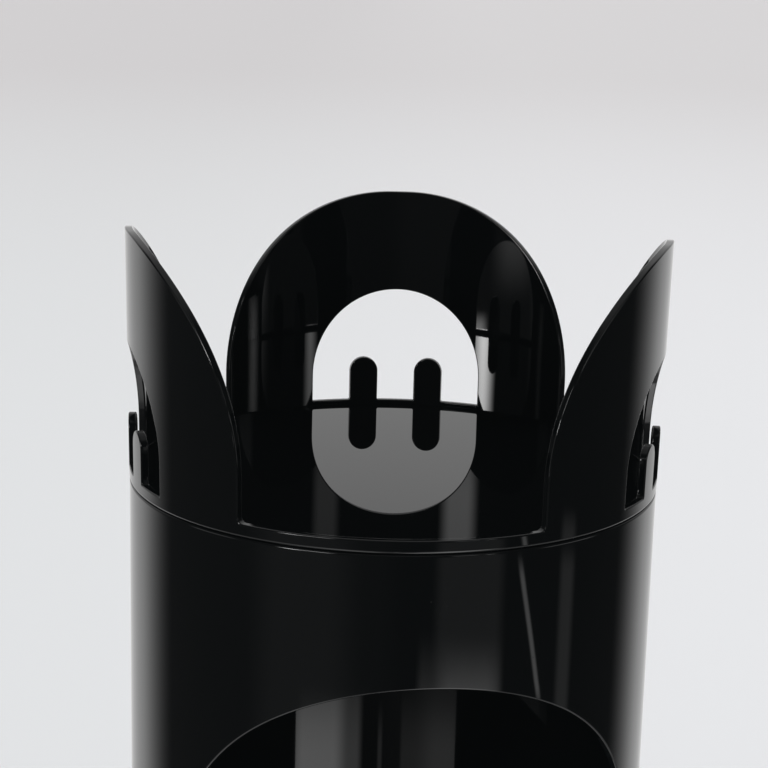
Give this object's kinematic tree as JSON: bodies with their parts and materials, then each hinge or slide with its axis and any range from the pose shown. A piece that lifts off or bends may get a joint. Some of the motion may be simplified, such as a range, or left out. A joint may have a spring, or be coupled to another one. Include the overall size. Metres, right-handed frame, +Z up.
{
  "type": "ashtray bin",
  "caption": "Round gloss black litter bin with an arched front opening, topped by a lobed crown with arched windows that holds a flat ashtray disc.",
  "frame": {"origin": "on the floor, under the middle of the bin", "axes": "+Z up, -Y towards the open front of the crown, +X to the right when facing the bin"},
  "size_m": [0.253, 0.2516, 0.7188],
  "materials": {
    "gloss_black": "polished moulded plastic, light dust and hairline scratches",
    "disc_black": "mirror-flat polished plastic",
    "satin_black": "fine moulded texture",
    "rubber": "matt",
    "iron": "as cast, lightly oiled",
    "galvanised": "zinc-coated sheet with a soft spangle",
    "wire_steel": "bright drawn steel"
  },
  "bodies": {
    "shell": {"body_shell": "gloss_black", "base_pan": "satin_black", "ballast_disc": "iron", "base_screw_1": "wire_steel", "base_screw_2": "wire_steel", "base_screw_3": "wire_steel", "base_screw_4": "wire_steel", "foot_1": "rubber", "foot_2": "rubber", "foot_3": "rubber", "foot_4": "rubber"},
    "bucket": {"liner_bucket": "galvanised", "ear_left": "galvanised", "ear_right": "galvanised", "rivet_left_front": "wire_steel", "rivet_left_back": "wire_steel", "rivet_right_front": "wire_steel", "rivet_right_back": "wire_steel"},
    "bail_handle": {"bail": "wire_steel"},
    "crown_ring": {"crown": "gloss_black"},
    "ashtray": {"ashtray_disc": "disc_black"}
  },
  "joints": [
    {"name": "bucket_lift", "type": "slide", "parent": "shell", "child": "bucket", "axis": [0, 0, 1], "range_m": [0, 0.5]},
    {"name": "bail_swing", "type": "hinge", "parent": "bucket", "child": "bail_handle", "pos_m": [0, 0, 0.2605], "axis": [1, 0, 0], "range_deg": [0, 180]},
    {"name": "crown_lift", "type": "slide", "parent": "bucket", "child": "crown_ring", "axis": [0, 0, 1], "range_m": [0, 0.2]},
    {"name": "ashtray_lift", "type": "slide", "parent": "crown_ring", "child": "ashtray", "axis": [0, 0, 1], "range_m": [0, 0.16]}
  ]
}
